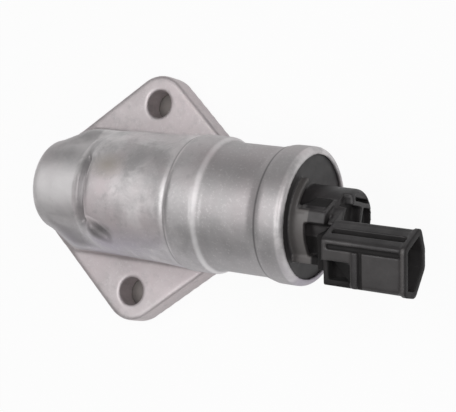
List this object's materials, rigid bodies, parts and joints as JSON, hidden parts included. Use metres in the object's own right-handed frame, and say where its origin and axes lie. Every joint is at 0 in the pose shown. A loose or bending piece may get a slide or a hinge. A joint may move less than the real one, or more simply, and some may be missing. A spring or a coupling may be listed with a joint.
{
  "type": "idle air control valve",
  "caption": "Solenoid idle air control valve for an engine: cast aluminium body on a diamond flange with bolt holes, black end cap with an angled two-pin socket.",
  "frame": {"origin": "middle of the mounting face, between the two bolt holes", "axes": "+X along the valve's axis towards the connector, +Y along the line of the bolt holes, +Z out of the mounting face through the valve"},
  "size_m": [0.1367, 0.0706, 0.0436],
  "materials": {
    "cast_aluminium": "matt, as cast",
    "black_plastic": "satin, moulded",
    "bobbin_plastic": "satin",
    "brass": "turned",
    "tinned_brass": "tin plated",
    "bronze": "sintered",
    "copper": "enamelled wire",
    "stainless_steel": "ground",
    "spring_steel": "drawn",
    "plated_steel": "zinc plated",
    "turned_aluminium": "turned",
    "tape": "polyester film",
    "rubber": "matt"
  },
  "bodies": {
    "body": {"housing": "cast_aluminium", "valve_seat": "brass", "spring_cup": "plated_steel", "return_spring": "spring_steel", "pole_piece": "plated_steel", "pole_seal": "rubber", "front_bush": "bronze", "stop_washer": "brass", "plunger_sleeve": "brass", "rear_bush": "bronze", "bobbin": "bobbin_plastic", "winding": "copper", "winding_tape": "tape", "flux_sleeve": "plated_steel", "rear_plate": "plated_steel", "end_cap": "black_plastic", "cap_seal": "rubber", "terminal_1": "tinned_brass", "terminal_2": "tinned_brass"},
    "valve": {"valve_shaft": "stainless_steel", "valve_disc": "turned_aluminium", "valve_seal": "rubber", "disc_clip": "spring_steel", "plunger": "plated_steel"}
  },
  "joints": [
    {"name": "valve_slide", "type": "slide", "parent": "body", "child": "valve", "axis": [-1, 0, 0], "range_m": [0, 0.004], "stiffness_N_per_m": 900, "springref_m": -0.003, "deforming": ["return_spring"]}
  ]
}
